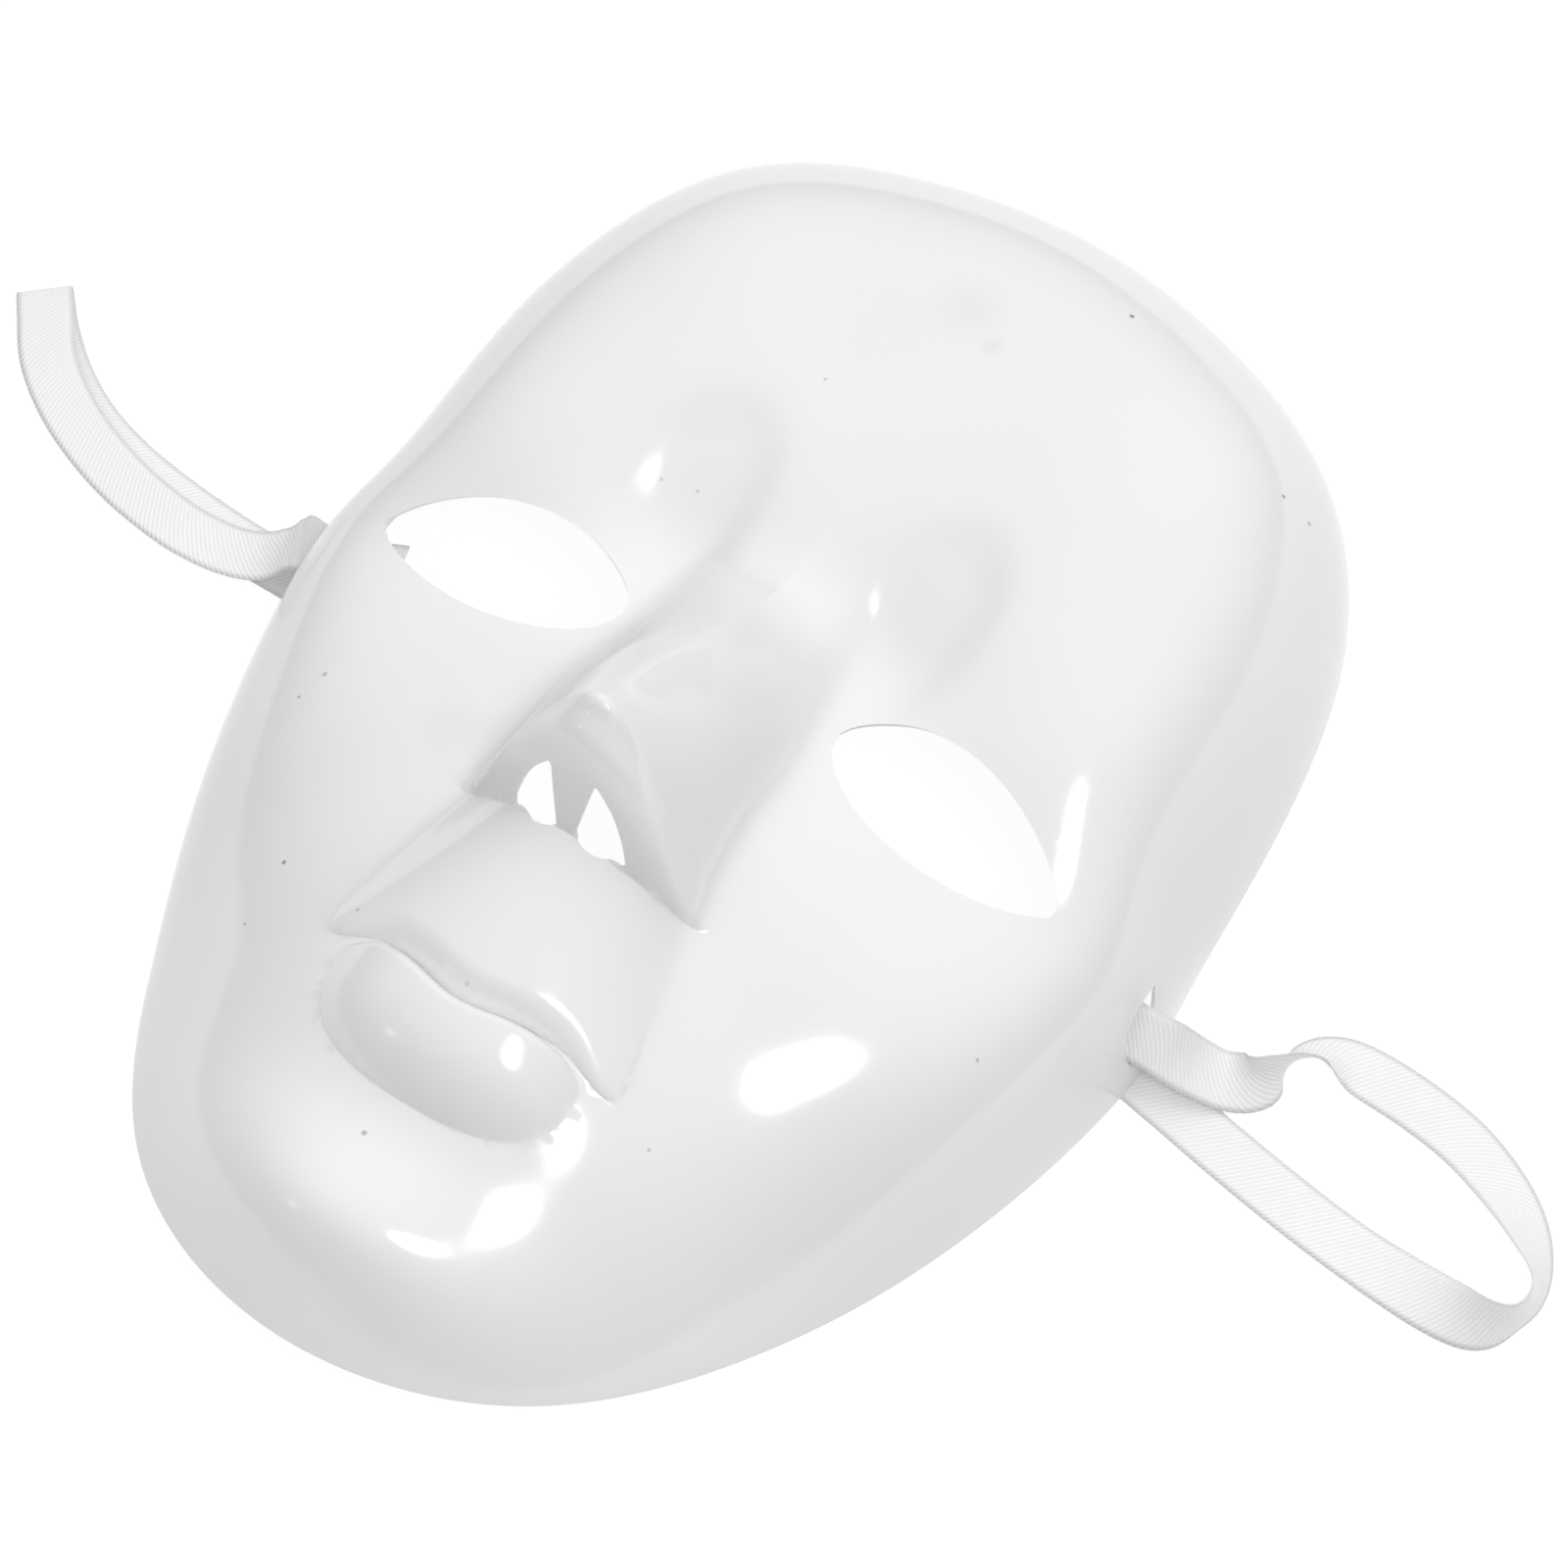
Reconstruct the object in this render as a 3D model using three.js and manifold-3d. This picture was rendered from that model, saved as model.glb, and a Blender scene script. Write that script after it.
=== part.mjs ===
// Full face mask: a thin vacuum formed plastic face with almond eye holes, two nostril holes and
// closed lips, lying face up on its rim, with a woven ribbon tie in a slit at each side.
// Millimetres, +Z up out of the face, +Y towards the forehead, x = 0 on the line of symmetry.
// The origin is on the surface that the rim rests on, under the middle of the mask.
import * as THREE from "three";
import { mergeVertices } from "three/addons/utils/BufferGeometryUtils.js";
import Module from "manifold-3d";

const wasm = await Module();
wasm.setup();

// Driving sizes of the shell
const HALF_LENGTH = 120;
const WALL = 0.6;

// The web of rings and spokes that the shell is drawn on, around the root of the nose. Each stretch
// says how far it reaches towards the chin and how many rings it holds.
const HUB = [0, 21];
const SPOKE_COUNT = 60;
const SPOKE_CROWDING = 0.62;
const RING_STRETCHES = [
  { name: "bridge and ridge", reach: 50, rings: 6 },
  { name: "underside of the nose", reach: 61, rings: 6 },
  { name: "upper lip", reach: 78, rings: 3 },
  { name: "mouth line", reach: 89, rings: 5 },
  { name: "lower lip", reach: 107, rings: 6 },
];
const RIM_RINGS = 5;
const ROUND_RINGS_REACH = 62;
const MOUTH_PULL = 0.0115;

// The points x, y and height that lead the smooth line of the rim's right half, from chin to
// forehead. The rim touches the table along the cheeks and rises at the chin and the forehead.
const RIM_HALF = [
  [0, -125.1, 16.2],
  [42, -109.8, 10.2],
  [63.8, -71.8, -0.9],
  [75.3, -46.9, 0.6],
  [82.3, -19.8, -0.1],
  [86, 4.5, 3.2],
  [81.5, 20.1, -3.3],
  [82.7, 56.9, 15],
  [68.4, 102, 10.2],
  [35.4, 115.8, 12.9],
  [0, 122.1, 13.7],
];

// The dome: its crown line over the length, and how square its shoulders are as the direction turns
const CROWN_MID = 51.8;
const CROWN_SLOPE = 0.021;
const CROWN_BEND = 0.00277;
const SHOULDER_POWER = [3.89, 0.81, 2.48, 0.73, 0.27];
const SHOULDER_ROOT = [1.56, 0.41, -0.02, -0.2, 0.13];

// Eye sockets, and the flat dish between each brow and the nose
const SOCKET = { x: 11.9, y: 19, depth: 7.3, across: 25.9, up: 16, down: 22.9 };
const BROW_DISH = { x: 22.2, y: 32.2, depth: 2.1, across: 10, up: 12.9, down: 23.4 };
const OUTER_SOCKET = { x: 55.1, y: -4.4, depth: 11.6, across: 40, up: 19.1, down: 45.1 };

// Nose: a straight ridge with soft sides, a steep underside and a ball on its tip
const NOSE = {
  rootY: 26,
  rootSoftness: 5,
  slope: 0.572,
  tipY: -32,
  rootHalfWidth: 15,
  tipHalfWidth: 19,
  round: 2.1,
  sideSoftness: 0.2,
  footY: -39.3,
  footCurve: 0.006,
  undersideSlope: 5.4,
  undersideRound: 2,
};
const LEAST_CUT = 5;
const BALL = { y: -31, rise: 3.2, radius: 6.5 };

// The raised plate of the upper lip: a trapezium that widens downwards
const LIP_PLATE = {
  topY: -36,
  topHalfWidth: 21.1,
  bottomY: -65.5,
  bottomHalfWidth: 28.7,
  topCrown: 9,
  bottomCrown: 2.6,
  crownPower: 2.3,
  crownSoftness: 0.12,
  step: 0.8,
  stepGrowth: 1.74,
  edge: 5,
  roll: 4.83,
  round: 1.6,
  steepness: 0.5,
  fadeAbove: 6,
  fadeBelow: 1,
};

// The line where the lips meet dips in the middle and drops a little at its ends
const MOUTH = { y: -65.1, dip: 3.16, dipWidth: 10.3, endDrop: 1.64, endFrom: 17, endTo: 26 };

// The lower lip: a full rounded roll under the mouth line
const LOWER_LIP = {
  y: -71.8,
  halfWidth: 23,
  below: 12.8,
  power: 2.29,
  rise: 4.93,
  roll: 2.96,
  round: 3.27,
  steepness: 1.01,
};

const CHIN = { y: -110, rise: 9, across: 30, along: 12 };
const CHIN_FOLD = { y: -87, depth: 3.2, across: 33, along: 12 };

// Eye hole: from a round inner end to a sharp outer corner
const EYE = { inner: [21.2, 6.4], outer: [66.5, 0.8], above: 9.55, below: 9.7 };
const EYE_INNER_POWER = 0.52;
const EYE_OUTER_POWER = 0.71;
const EYE_POINTS = 13;

// Nostril: a rounded triangle in the underside of the nose, given as x and height
const NOSTRIL = [
  [4.2, 70],
  [7.6, 65.5],
  [9.9, 59.5],
  [11, 53.4],
  [1.6, 56.2],
];

// Slit: a half moon in the side wall, given as y and height
const SLIT_TOP = [8.5, 18.6];
const SLIT_BOTTOM = [-1.6, 6.8];
const SLIT_BOW = 6;
const SLIT_BACK_BOW = 1.5;
const SLIT_POINTS = 8;

// Ties: a woven ribbon at each side. Each point of a route holds x, y and height of the middle of
// the ribbon, and the heading and the tilt, in degrees, of its width.
const RIBBON_WIDTH = 10;
const RIBBON_THICKNESS = 0.4;
const STEPS_A_SPAN = 3;
const ON_TABLE = 0.4;
const TIE_RIGHT = [
  [73, 10, 5, 90, 44],
  [74.4, 7.2, 8, 90, 44],
  [76.8, 4.2, 10.5, 90, 44],
  [80.2, 2.4, 12.1, 90, 44],
  [84, 2.1, 12.3, 90, 44],
  [87.2, 2.9, 11, 94, 42],
  [89.8, 4.1, 8.3, 100, 32],
  [92.8, 5.6, 5.2, 107, 19],
  [97, 7.2, 3, 114, 16],
  [101.2, 9.2, 3.8, 122, 44],
  [103.6, 12.4, 5.3, 132, 80],
  [105.2, 16, 5.4, 138, 112],
  [107.4, 19.4, 4.2, 134, 142],
  [111.2, 21.6, 2.6, 116, 166],
  [116.2, 22.2, 1.6, 100, 178],
  [125.8, 21.8, 1.4, 84, 178],
  [136.2, 19.8, 1.6, 74, 174],
  [147, 14.8, 2.4, 58, 160],
  [154.4, 8.2, 4.1, 40, 135],
  [158.6, 1.4, 5.3, 20, 104],
  [158, -4.2, 5.3, -35, 95],
  [153.6, -7.6, 4.6, -75, 125],
  [146.2, -7.8, 2.6, -92, 155],
  [134, -6.8, 0.9, -96, 176],
  [124, -5.7, ON_TABLE, -97, 180],
  [113.8, -4.3, ON_TABLE, -99, 180],
  [102, -2.3, ON_TABLE, -100, 180],
  [91, -0.2, ON_TABLE, -101, 180],
  [81, 1.2, ON_TABLE, -90, 180],
  [71, -0.6, ON_TABLE, -70, 180],
  [62, -6.6, ON_TABLE, -50, 180],
  [54.5, -15.6, ON_TABLE, -35, 180],
  [49.5, -26.4, ON_TABLE, -20, 180],
  [47, -38, ON_TABLE, -10, 180],
  [45.5, -49, ON_TABLE, -6, 180],
];
const TIE_LEFT = [
  [-73, 10, 5, 270, -44],
  [-74.4, 7.2, 8, 270, -44],
  [-76.8, 4.2, 10.5, 270, -44],
  [-80.2, 2.4, 12.1, 270, -44],
  [-84, 2.1, 12.3, 270, -44],
  [-87, 2.6, 11.2, 269, -40],
  [-89.6, 2.6, 8.4, 269, -28],
  [-92.2, 1.4, 5.4, 271, -16],
  [-95.6, -0.4, 3.6, 274, -6],
  [-100.4, -2, 3.1, 274, -1],
  [-106, -3, 3.5, 270, 0],
  [-112.4, -3.2, 4, 266, 0],
  [-122.8, -1.8, 4.3, 256, 0],
  [-133.2, 1.2, 4.5, 247, 0],
  [-143, 5.6, 4.7, 240, 0],
  [-151.4, 11.4, 4.9, 232, 0],
  [-157.6, 18.4, 4.9, 225, 0],
  [-161.2, 22.6, 4.2, 223, 0],
  [-162.2, 23.8, 2.7, 223, 0],
  [-161.2, 22.8, 1.2, 223, 0],
  [-156.8, 18.4, 0.6, 228, 0],
  [-149, 12.4, ON_TABLE, 236, 0],
  [-140, 7.6, ON_TABLE, 246, 0],
  [-130, 4.4, ON_TABLE, 254, 0],
  [-119.4, 2.6, ON_TABLE, 262, 0],
  [-108.6, 1.6, ON_TABLE, 267, 0],
  [-98, 1.2, ON_TABLE, 269, 0],
  [-87.6, 1.2, ON_TABLE, 270, 0],
  [-77.4, 0.4, ON_TABLE, 257, 0],
  [-68, -3.6, ON_TABLE, 237, 0],
  [-60.4, -11, ON_TABLE, 217, 0],
  [-55.2, -20.8, ON_TABLE, 201, 0],
  [-52.6, -31.6, ON_TABLE, 190, 0],
  [-51.6, -42.6, ON_TABLE, 185, 0],
];

const plastic = new THREE.MeshStandardMaterial({ color: 0xefefee, roughness: 0.2, metalness: 0 });
const ribbonCloth = new THREE.MeshStandardMaterial({ color: 0xf3f3f1, roughness: 0.55, metalness: 0 });

const clamp = (v) => Math.min(1, Math.max(0, v));
const bell = (distance, radius) => Math.exp(-((distance / radius) ** 2));
const blend = (from, to, share) => from + (to - from) * share;
const radians = THREE.MathUtils.degToRad;

// 0 below a, 1 above b, and a smooth S between them
function smooth(a, b, v) {
  const s = clamp((v - a) / (b - a));
  return s * s * (3 - 2 * s);
}

// softness * ln(1 + exp(value / softness)): the value where it is above 0, and nearly 0 below
function softPositive(value, softness) {
  const share = value / softness;
  return softness * (Math.max(share, 0) + Math.log1p(Math.exp(-Math.abs(share))));
}

// A smooth curve through points of any number of coordinates: each span is the cubic whose slope at
// an end is half the way between that end's two neighbours.
function through(points, stepsASpan) {
  const pick = (i) => points[Math.min(points.length - 1, Math.max(0, i))];
  const out = [];
  for (let span = 0; span < points.length - 1; span += 1) {
    const [a, b, c, d] = [pick(span - 1), pick(span), pick(span + 1), pick(span + 2)];
    for (let step = 0; step < stepsASpan; step += 1) {
      const f = step / stepsASpan;
      out.push(
        b.map((_, k) => {
          const slope = c[k] - a[k];
          const square = 2 * a[k] - 5 * b[k] + 4 * c[k] - d[k];
          const cube = 3 * b[k] - a[k] - 3 * c[k] + d[k];
          return 0.5 * (2 * b[k] + slope * f + square * f * f + cube * f * f * f);
        }),
      );
    }
  }
  out.push([...points[points.length - 1]]);
  return out;
}

// A closed line led by points without passing through them: the uniform cubic B-spline
function ledBy(points, stepsASpan) {
  const pick = (i) => points[(i + points.length) % points.length];
  const out = [];
  for (let span = 0; span < points.length; span += 1) {
    for (let step = 0; step < stepsASpan; step += 1) {
      const f = step / stepsASpan;
      const weights = [
        (1 - f) ** 3,
        3 * f ** 3 - 6 * f ** 2 + 4,
        -3 * f ** 3 + 3 * f ** 2 + 3 * f + 1,
        f ** 3,
      ];
      out.push([0, 1, 2].map((k) => weights.reduce((sum, w, i) => sum + (w * pick(span + i - 1)[k]) / 6, 0)));
    }
  }
  return out;
}

// The whole rim: the right half and its mirror
const leftHalf = RIM_HALF.slice(1, -1).map(([x, y, z]) => [-x, y, z]).reverse();
const rim = ledBy([...RIM_HALF, ...leftHalf], 60);

// How far the rim is from a centre, and how high, in every direction
function rimAround([cx, cy]) {
  const turn = (angle) => (angle + 2.5 * Math.PI) % (2 * Math.PI);
  const marks = rim
    .map(([x, y, z]) => [turn(Math.atan2(y - cy, x - cx)), Math.hypot(x - cx, y - cy), z])
    .sort((a, b) => a[0] - b[0]);
  const last = marks[marks.length - 1];
  const first = marks[0];
  marks.unshift([last[0] - 2 * Math.PI, last[1], last[2]]);
  marks.push([first[0] + 2 * Math.PI, first[1], first[2]]);
  return (angle) => {
    const at = turn(angle);
    let low = 0;
    let high = marks.length - 1;
    while (high - low > 1) {
      const middle = (low + high) >> 1;
      if (marks[middle][0] > at) high = middle;
      else low = middle;
    }
    const share = (at - marks[low][0]) / (marks[high][0] - marks[low][0]);
    return [1, 2].map((k) => blend(marks[low][k], marks[high][k], share));
  };
}
const rimFromMiddle = rimAround([0, 0]);
const rimFromHub = rimAround(HUB);

// A value that changes with the direction: a mean, and shares of the first four turns
function turning([mean, first, second, third, fourth], angle) {
  const odd = first * Math.sin(angle) + third * Math.sin(3 * angle);
  return mean + odd + second * Math.cos(2 * angle) + fourth * Math.cos(4 * angle);
}

// The plain dome: from the rim's height it rises to the crown line with rounded shoulders
function dome(x, y) {
  const angle = Math.atan2(y, x);
  const [reach, rimHeight] = rimFromMiddle(angle);
  const share = Math.min(1, Math.hypot(x, y) / reach);
  const crown = CROWN_MID + CROWN_SLOPE * y + CROWN_BEND * y * y;
  const rise = (1 - share ** turning(SHOULDER_POWER, angle)) ** (1 / turning(SHOULDER_ROOT, angle));
  return [rimHeight + (crown - rimHeight) * rise, 1 - share ** 8];
}

// The nose: a ridge with soft sides and a ball on its tip, cut off below by the steep underside
function nose(side, y) {
  const run = softPositive(NOSE.rootY - y, NOSE.rootSoftness);
  const down = clamp((NOSE.rootY - y) / (NOSE.rootY - NOSE.tipY));
  const halfWidth = blend(NOSE.rootHalfWidth, NOSE.tipHalfWidth, down);
  const section = softPositive(1 - (side / halfWidth) ** NOSE.round, NOSE.sideSoftness);
  const ball = BALL.rise * bell(Math.hypot(side, y - BALL.y), BALL.radius);
  const ridge = NOSE.slope * run * section + ball;
  const foot = NOSE.footY + NOSE.footCurve * side * side;
  const full = NOSE.undersideRound * Math.max(ridge, LEAST_CUT);
  const up = clamp((NOSE.undersideSlope * (y - foot)) / full);
  return ridge * (1 - (1 - up) ** NOSE.undersideRound);
}

function mouthLine(side) {
  const ends = MOUTH.endDrop * smooth(MOUTH.endFrom, MOUTH.endTo, side);
  return MOUTH.y - MOUTH.dip * bell(side, MOUTH.dipWidth) - ends;
}

// A pillow's height, from two shares of the way to its border gathered into one
function pillow(first, second, roundness, steepness) {
  const border = Math.min(1, Math.cbrt(clamp(first) ** 3 + clamp(second) ** 3));
  return (1 - border ** roundness) ** steepness;
}

// The upper lip's plate: a crowned trapezium whose step grows downwards and whose foot rolls in
function lipPlate(side, y) {
  const shape = LIP_PLATE;
  const down = Math.min(1.2, Math.max(0, (shape.topY - y) / (shape.topY - shape.bottomY)));
  const halfWidth = blend(shape.topHalfWidth, shape.bottomHalfWidth, down);
  const crown = blend(shape.topCrown, shape.bottomCrown, down);
  const bulge = crown * softPositive(1 - (side / halfWidth) ** shape.crownPower, shape.crownSoftness);
  const out = 1 - (halfWidth - side) / shape.edge;
  const low = 1 - (y - mouthLine(side)) / shape.roll;
  const step = shape.step * down ** shape.stepGrowth * pillow(out, low, shape.round, shape.steepness);
  const foot = pillow(0, low, shape.round, shape.steepness);
  return (step + bulge * foot) * smooth(shape.topY + shape.fadeAbove, shape.topY - shape.fadeBelow, y);
}

function lowerLip(side, y) {
  const below = Math.max(0, LOWER_LIP.y - y) / LOWER_LIP.below;
  const out = ((side / LOWER_LIP.halfWidth) ** LOWER_LIP.power + below ** LOWER_LIP.power) ** (1 / LOWER_LIP.power);
  const high = 1 - (mouthLine(side) - y) / LOWER_LIP.roll;
  return LOWER_LIP.rise * pillow(out, high, LOWER_LIP.round, LOWER_LIP.steepness);
}

function hollow({ x, y, depth, across, up, down }, side, at) {
  return depth * bell(side - x, across) * bell(at - y, at > y ? up : down);
}

// A hollow with a flat floor and steep walls
function dish({ x, y, depth, across, up, down }, side, at) {
  const off = (at - y) / (at > y ? up : down);
  return depth * Math.exp(-((((side - x) / across) ** 2 + off ** 2) ** 2));
}

// Everything that the face adds to the dome
function relief(side, y) {
  const chin = CHIN.rise * bell(side, CHIN.across) * bell(y - CHIN.y, CHIN.along);
  const fold = CHIN_FOLD.depth * bell(side, CHIN_FOLD.across) * bell(y - CHIN_FOLD.y, CHIN_FOLD.along);
  const hollows = hollow(SOCKET, side, y) + hollow(OUTER_SOCKET, side, y) + dish(BROW_DISH, side, y) + fold;
  return nose(side, y) + lipPlate(side, y) + lowerLip(side, y) + chin - hollows;
}

function faceHeight(x, y) {
  const [height, fade] = dome(x, y);
  return height + relief(Math.abs(x), y) * fade;
}

// The directions of the spokes, closer together towards the chin. The two that pass nearest to the
// side of the lip plate are laid along the foot and the head of its step.
function spokeAngles() {
  const drop = HUB[1] - LIP_PLATE.bottomY;
  const stepAngles = [-0.5, 0.5].map((k) => Math.atan2(LIP_PLATE.bottomHalfWidth + k * LIP_PLATE.edge, drop));
  const turns = Array.from({ length: SPOKE_COUNT }, (_, spoke) => {
    const turn = (2 * Math.PI * spoke) / SPOKE_COUNT;
    return turn - SPOKE_CROWDING * Math.sin(turn);
  });
  const first = turns.findIndex((turn) => turn > stepAngles[0]) - 1;
  stepAngles.forEach((angle, k) => {
    turns[first + k] = angle;
    turns[SPOKE_COUNT - first - k] = 2 * Math.PI - angle;
  });
  return turns.map((turn) => turn - Math.PI / 2);
}

// How far out each ring lies towards the chin; the last ones crowd together down the wall
function ringReaches() {
  const reaches = [];
  let from = 0;
  for (const { reach, rings } of RING_STRETCHES) {
    for (let ring = 1; ring <= rings; ring += 1) reaches.push(blend(from, reach, ring / rings));
    from = reach;
  }
  const end = HUB[1] + HALF_LENGTH;
  for (let ring = 1; ring <= RIM_RINGS; ring += 1) {
    reaches.push(blend(from, end, Math.sin((ring / RIM_RINGS) * (Math.PI / 2))));
  }
  return reaches;
}

// The outer sheet. Near the hub the rings are round, outwards they take the rim's outline, and
// across the mouth they are pulled straight.
function outerSheet() {
  const points = [[...HUB, faceHeight(...HUB)]];
  const end = HUB[1] + HALF_LENGTH;
  const angles = spokeAngles();
  for (const reach of ringReaches()) {
    const round = Math.min(reach, ROUND_RINGS_REACH);
    const outwards = (reach - round) / (end - ROUND_RINGS_REACH);
    for (const angle of angles) {
      const [rimReach, rimHeight] = rimFromHub(angle);
      const distance = blend(round, rimReach, outwards);
      const x = HUB[0] + distance * Math.cos(angle);
      const bowed = HUB[1] + distance * Math.sin(angle);
      const y = bowed - MOUTH_PULL * x * x * smooth(62, 30, Math.abs(x)) * bell(bowed - LIP_PLATE.bottomY, 18);
      points.push([x, y, reach === end ? rimHeight : faceHeight(x, y)]);
    }
  }
  return points;
}

// Triangles of one sheet, wound to face up
function sheetTriangles() {
  const ringCount = ringReaches().length;
  const at = (ring, spoke) => 1 + (ring - 1) * SPOKE_COUNT + (spoke % SPOKE_COUNT);
  const triangles = [];
  for (let spoke = 0; spoke < SPOKE_COUNT; spoke += 1) {
    triangles.push([0, at(1, spoke), at(1, spoke + 1)]);
    for (let ring = 1; ring < ringCount; ring += 1) {
      const [a, b] = [at(ring, spoke), at(ring + 1, spoke)];
      const [c, d] = [at(ring + 1, spoke + 1), at(ring, spoke + 1)];
      if (spoke < SPOKE_COUNT / 2) triangles.push([a, b, c], [a, c, d]);
      else triangles.push([a, b, d], [b, c, d]);
    }
  }
  return triangles;
}

function geometryOf(points, triangles) {
  const geometry = new THREE.BufferGeometry();
  geometry.setAttribute("position", new THREE.Float32BufferAttribute(points.flat(), 3));
  geometry.setIndex(triangles.flat());
  return geometry;
}

// The shell: the outer sheet, the same sheet moved in by the wall, and a strip along the rim
function shellGeometry() {
  const outer = outerSheet();
  const triangles = sheetTriangles();
  const sheet = geometryOf(outer, triangles);
  sheet.computeVertexNormals();
  const normals = sheet.getAttribute("normal");
  const rimStart = outer.length - SPOKE_COUNT;
  const inner = outer.map(([x, y, z], i) => {
    const drop = i < rimStart ? WALL * normals.getZ(i) : 0;
    return [x - WALL * normals.getX(i), y - WALL * normals.getY(i), z - drop];
  });
  const offset = outer.length;
  const faces = [...triangles, ...triangles.map(([a, b, c]) => [a + offset, c + offset, b + offset])];
  for (let spoke = 0; spoke < SPOKE_COUNT; spoke += 1) {
    const a = rimStart + spoke;
    const b = rimStart + ((spoke + 1) % SPOKE_COUNT);
    faces.push([a, a + offset, b], [b, a + offset, b + offset]);
  }
  return geometryOf([...outer, ...inner], faces);
}

function solidFrom(geometry) {
  const bare = geometry.clone();
  bare.deleteAttribute("normal");
  bare.deleteAttribute("uv");
  const merged = mergeVertices(bare, 1e-4);
  const vertProperties = merged.getAttribute("position").array;
  return new wasm.Manifold(new wasm.Mesh({ numProp: 3, vertProperties, triVerts: new Uint32Array(merged.index.array) }));
}

function meshFrom(solid, material, name) {
  const { vertProperties, triVerts } = solid.getMesh();
  const geometry = new THREE.BufferGeometry();
  geometry.setAttribute("position", new THREE.BufferAttribute(vertProperties, 3));
  geometry.setIndex(new THREE.BufferAttribute(triVerts, 1));
  geometry.computeVertexNormals();
  const mesh = new THREE.Mesh(geometry, material);
  mesh.name = name;
  return mesh;
}

// A prism with its outline in the plane of two axes and its length along the third
function prism(outline, from, to, toWorld) {
  const shape = new THREE.Shape(outline.map(([u, v]) => new THREE.Vector2(u, v)));
  const geometry = new THREE.ExtrudeGeometry(shape, { depth: to - from, bevelEnabled: false });
  geometry.translate(0, 0, from);
  geometry.applyMatrix4(toWorld);
  return solidFrom(geometry);
}

// Outline in x and y, length up z
const UPRIGHT = new THREE.Matrix4();
// Outline in x and z, length towards the chin
const TO_CHIN = new THREE.Matrix4().makeRotationX(Math.PI / 2);
// Outline in y and z, length along x
const SIDEWAYS = new THREE.Matrix4().set(0, 0, 1, 0, 1, 0, 0, 0, 0, 1, 0, 0, 0, 0, 0, 1);

// The almond of the eye on one side: along its axis both arcs follow u^inner (1 - u)^outer
function eyeOutline(side) {
  const [innerX, innerY] = EYE.inner;
  const run = [EYE.outer[0] - innerX, EYE.outer[1] - innerY];
  const length = Math.hypot(...run);
  const peakAt = EYE_INNER_POWER / (EYE_INNER_POWER + EYE_OUTER_POWER);
  const shape = (u) => u ** EYE_INNER_POWER * (1 - u) ** EYE_OUTER_POWER;
  const arc = (rise) =>
    Array.from({ length: EYE_POINTS }, (_, i) => {
      const u = (1 - Math.cos((Math.PI * i) / (EYE_POINTS - 1))) / 2;
      const out = (rise * shape(u)) / shape(peakAt);
      const x = innerX + run[0] * u - (run[1] / length) * out;
      const y = innerY + run[1] * u + (run[0] / length) * out;
      return [side * x, y];
    });
  const below = arc(-EYE.below);
  const above = arc(EYE.above).reverse().slice(1, -1);
  return [...below, ...above];
}

// The leaf of the slit: a bowed edge away from the rim and a nearly straight one towards it
function slitOutline() {
  const run = [SLIT_TOP[0] - SLIT_BOTTOM[0], SLIT_TOP[1] - SLIT_BOTTOM[1]];
  const length = Math.hypot(...run);
  const arc = (bow) =>
    Array.from({ length: SLIT_POINTS }, (_, i) => {
      const u = i / SLIT_POINTS;
      const out = (bow / length) * 4 * u * (1 - u);
      return [SLIT_BOTTOM[0] + run[0] * u - run[1] * out, SLIT_BOTTOM[1] + run[1] * u + run[0] * out];
    });
  const back = arc(-SLIT_BACK_BOW).reverse().slice(0, -1);
  return [...arc(SLIT_BOW), SLIT_TOP, ...back];
}

function maskShell() {
  let shell = solidFrom(shellGeometry());
  for (const side of [-1, 1]) {
    const nostril = NOSTRIL.map(([x, z]) => [side * x, z]);
    shell = shell.subtract(prism(eyeOutline(side), 20, 70, UPRIGHT));
    shell = shell.subtract(prism(nostril, 31, 43, TO_CHIN));
    const [near, far] = side > 0 ? [72, 95] : [-95, -72];
    shell = shell.subtract(prism(slitOutline(), near, far, SIDEWAYS));
  }
  return meshFrom(shell, plastic, "mask_shell");
}

// A flat ribbon carried along its route, with square cut ends
function tie(route, name) {
  const stations = through(route, STEPS_A_SPAN);
  const middles = stations.map(([x, y, z]) => new THREE.Vector3(x, y, z));
  const points = [];
  stations.forEach(([, , , heading, tilt], i) => {
    const before = middles[Math.max(0, i - 1)];
    const after = middles[Math.min(middles.length - 1, i + 1)];
    const along = after.clone().sub(before).normalize();
    const flat = Math.cos(radians(tilt));
    const width = new THREE.Vector3(
      Math.cos(radians(heading)) * flat,
      Math.sin(radians(heading)) * flat,
      Math.sin(radians(tilt)),
    );
    width.addScaledVector(along, -width.dot(along)).normalize();
    const depth = along.clone().cross(width);
    for (const [u, v] of [[-1, -1], [1, -1], [1, 1], [-1, 1]]) {
      const corner = middles[i]
        .clone()
        .addScaledVector(width, (u * RIBBON_WIDTH) / 2)
        .addScaledVector(depth, (v * RIBBON_THICKNESS) / 2);
      points.push(corner.toArray());
    }
  });
  const last = (stations.length - 1) * 4;
  const triangles = [[0, 2, 1], [0, 3, 2], [last, last + 1, last + 2], [last, last + 2, last + 3]];
  for (let start = 0; start < last; start += 4) {
    for (let side = 0; side < 4; side += 1) {
      const [a, b] = [start + side, start + ((side + 1) % 4)];
      if (side === 2) triangles.push([a, b, a + 4], [b, b + 4, a + 4]);
      else triangles.push([a, b, b + 4], [a, b + 4, a + 4]);
    }
  }
  return meshFrom(solidFrom(geometryOf(points, triangles)), ribbonCloth, name);
}

const mask = new THREE.Group();
mask.add(maskShell(), tie(TIE_RIGHT, "tie_right"), tie(TIE_LEFT, "tie_left"));

export default mask;
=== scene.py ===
"""Blank full face mask of white glossy plastic, lying face up with its two ribbon ties."""

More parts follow.
